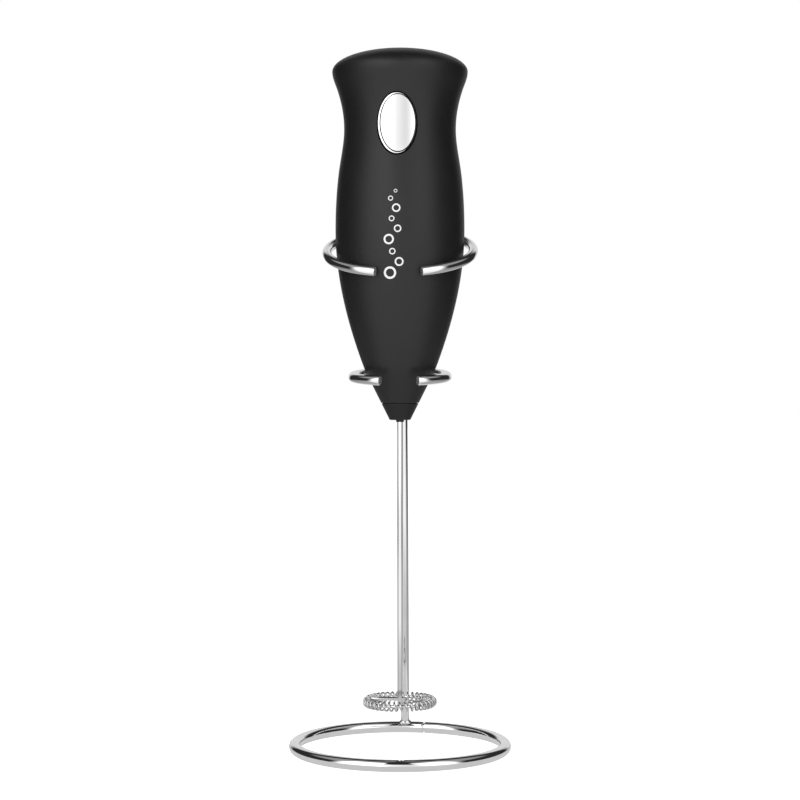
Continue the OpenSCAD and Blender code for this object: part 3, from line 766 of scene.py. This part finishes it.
def oval_block(name, width, height, near_y, far_y):
    """An oval block between two depths, its edges rounded off."""
    block = oval_disc(name, width, height, 0, near_y)
    bpy.ops.object.mode_set(mode="EDIT")
    bpy.ops.mesh.select_all(action="SELECT")
    bpy.ops.mesh.extrude_region_move(TRANSFORM_OT_translate={"value": (0, far_y - near_y, 0)})
    clean()
    choose(block, "FACE", lambda face: len(face.vertices) > 4)
    bpy.ops.mesh.bevel(offset=0.1 * MM, segments=2, affect="EDGES")
    bpy.ops.object.mode_set(mode="OBJECT")
    return block


seam_out = 0.36 * MM
slide = joined("button_slide", [
    cap("button_seam", top_w + seam_out, top_h + seam_out, top_across, crown_out - seam_sunk, seam_round),
    oval_block("button_skirt", button_w - skirt_in, button_h - skirt_in, skirt_y, flange_y),
    oval_block("button_flange", flange_w, flange_h, flange_y - flange_t, flange_y),
    oval_block("button_stem", stem_w, stem_w, flange_y, button_high.y)])
settle(slide, 40)
# Black plastic. Its black also stands in for the shade in the gap round the cap: painted shade.
give(slide, plastic("button_black_gap_shade", (0.012, 0.012, 0.013), 0.5, 2400, 0.01 * MM))
fit_in(slide, "button", "button_chrome", "button_cap")

# ---- Whisk ----
# A straight steel shaft comes down from the handle. A thinner wire runs through its end as a
# spoke and on round as a ring, and a steel spring is wound along that ring.
shaft_low, shaft_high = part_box("whisk_shaft")
rod_r = shaft_r - 0.03
shaft = turned("shaft_rod", rounded([
    (0, shaft_low.z / MM), (rod_r, shaft_low.z / MM), (rod_r, shaft_high.z / MM),
    (0, shaft_high.z / MM)], 0.25), 48)
settle(shaft)
steel = metal("drawn_steel", (0.86, 0.86, 0.87), 0.09, 2600, (1, 1, 0.03), dent=0.0015 * MM)
give(shaft, steel)
fit_in(shaft, "whisk", "whisk_steel", "whisk_shaft")

core_low, core_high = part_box("whisk_core")
core_wire_r = 0.45 * MM
core_z = core_low.z + core_wire_r
spoke_r = 0.55 * MM
spoke_z = core_high.z - spoke_r
whisk_r = core_high.x - core_wire_r
spoke_inner = 1.2 * MM
core = wire_arc("core_ring", whisk_r, core_wire_r, 180.5, 359, steps=120, rounding=0.1 * MM)
core.location.z = core_z
bpy.ops.object.select_all(action="DESELECT")
bpy.ops.mesh.primitive_circle_add(vertices=32, radius=spoke_r, fill_type="NGON",
                                  location=(spoke_inner, 0, spoke_z), rotation=(0, -math.pi / 2, 0))
spoke = added("core_spoke")
bpy.ops.object.mode_set(mode="EDIT")
bpy.ops.mesh.select_all(action="SELECT")
bpy.ops.mesh.extrude_region_move(TRANSFORM_OT_translate={"value": (-whisk_r - spoke_inner, 0, 0)})
clean()
choose(spoke, "FACE", lambda face: len(face.vertices) > 4)
bpy.ops.mesh.bevel(offset=0.15 * MM, segments=3, affect="EDGES")
bpy.ops.object.mode_set(mode="OBJECT")
core = joined("whisk_wire", [core, spoke])
settle(core)
give(core, steel)
fit_in(core, "whisk", "whisk_steel", "whisk_core")

coil_low, coil_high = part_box("whisk_coil")
coil_turns = 38
coil_wire_r = 0.29 * MM
coil_r = (coil_high.z - coil_low.z) / 2 - coil_wire_r
coil_gap = math.radians(2 * 3.2)
coil_length = whisk_r * (2 * math.pi - coil_gap)
bpy.ops.object.select_all(action="DESELECT")
bpy.ops.mesh.primitive_circle_add(vertices=8, radius=coil_wire_r, fill_type="NGON",
                                  location=(coil_r, 0, -coil_length / 2), rotation=(math.pi / 2, 0, 0))
coil = added("whisk_spring")
bpy.ops.object.transform_apply(location=True, rotation=True, scale=True)
apply_modifier(coil, "SCREW", axis="Z", angle=2 * math.pi, screw_offset=coil_length / coil_turns,
               iterations=coil_turns, steps=20, render_steps=20, use_normal_calculate=True)
coil.rotation_euler.y = math.pi / 2
bpy.ops.object.transform_apply(location=True, rotation=True, scale=True)
apply_modifier(coil, "SIMPLE_DEFORM", deform_method="BEND", deform_axis="Z",
               angle=2 * math.pi - coil_gap)
coil.location = (0, -whisk_r, 0)
bpy.ops.object.transform_apply(location=True, rotation=True, scale=True)
coil.rotation_euler.z = math.pi / 2
coil.location.z = core_z
settle(coil, 60)
give(coil, metal("spring_steel", (0.72, 0.72, 0.73), 0.06, 3000, dent=0.001 * MM))
fit_in(coil, "whisk", "spring_steel", "whisk_coil")

# ---- Inside the handle ----
# Batteries, contacts, switch, leads, motor and coupling keep their frame shapes. Each gets the
# finish of its real material.
nickel = metal("nickel_plate", (0.72, 0.69, 0.62), 0.22, 900, (1, 0.2, 1), dent=0.003 * MM)
zinc = metal("zinc_plate", (0.60, 0.61, 0.64), 0.28, 700, dent=0.004 * MM)
rolled_steel = metal("rolled_steel", (0.52, 0.52, 0.53), 0.30, 800, (1, 1, 0.15), dent=0.004 * MM)
laminated = metal("laminated_steel", (0.36, 0.36, 0.38), 0.42, 2400, (0.05, 0.05, 1), dent=0.02 * MM)
sintered = metal("sintered_bronze", (0.62, 0.42, 0.22), 0.45, 3200, dent=0.01 * MM)
turned_brass = metal("turned_brass", (0.80, 0.60, 0.28), 0.20, 1600, (0.1, 0.1, 1), dent=0.003 * MM)
wound_copper = metal("wound_copper", (0.78, 0.36, 0.20), 0.26, 1900, (0.1, 0.1, 1), dent=0.05 * MM)
ferrite = plastic("ferrite", (0.045, 0.042, 0.042), 0.62, 2600, 0.02 * MM)
pale_plastic = plastic("natural_abs", (0.62, 0.60, 0.54), 0.48, 2200, 0.006 * MM)
white_nylon = plastic("white_nylon", (0.74, 0.73, 0.70), 0.42, 2000, 0.005 * MM)
switch_black = plastic("switch_black", (0.022, 0.022, 0.024), 0.38, 2600, 0.006 * MM)
red_cover = plastic("lead_red", (0.50, 0.02, 0.015), 0.36, 1800, 0.004 * MM)
black_cover = plastic("lead_black", (0.02, 0.02, 0.02), 0.36, 1800, 0.004 * MM)


def battery_jacket(name, node, nub_up):
    """Printed film: a copper-coloured band at the nub end, a thin white line, then dark green."""
    made, tree = new_material(name)
    low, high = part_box(node)
    length = high.z - low.z
    place = tree.place()
    up = tree.split(place)[2]
    along = (up - low.z) / length if nub_up else (high.z - up) / length
    nub = tree.fade(along, 0.968, 0.970)
    bottom = tree.fade(along, 0.012, 0.010)
    band = tree.fade(along, 0.70, 0.702)
    line = band - tree.fade(along, 0.716, 0.718)
    cloudy = tree.noise(place, 300, 3)
    film = tree.mix(band, (0.015, 0.07, 0.035), (0.72, 0.36, 0.13))
    film = tree.mix(line, film, (0.8, 0.8, 0.78))
    bare = nub + bottom
    tint = tree.mix(bare, film, (0.66, 0.65, 0.62))
    tree.surface(Base_Color=tint, Metallic=bare * 0.6 + band * 0.3, Roughness=cloudy * 0.12 + 0.24,
                 Coat_Weight=0.4, Normal=tree.bump(cloudy, 0.01 * MM))
    return made


give(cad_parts["battery_left"], battery_jacket("jacket_left", "battery_left", True))
give(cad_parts["battery_right"], battery_jacket("jacket_right", "battery_right", False))
finishes = {
    nickel: ["contact_negative", "contact_positive", "contact_bridge", "spring_lower", "spring_upper",
             "button_spring"],
    zinc: ["tray_screws"],
    rolled_steel: ["motor_can", "motor_shaft"],
    laminated: ["armature_core"],
    sintered: ["motor_bushes"],
    turned_brass: ["shaft_coupling", "motor_brushes"],
    wound_copper: ["armature_coils", "commutator"],
    ferrite: ["motor_magnets"],
    pale_plastic: ["battery_tray", "motor_clamp"],
    white_nylon: ["motor_end_cap"],
    switch_black: ["switch_body"],
    red_cover: ["lead_positive"],
    black_cover: ["lead_to_switch", "lead_to_motor"],
}
for finish, names in finishes.items():
    for name in names:
        give(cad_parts[name], finish)
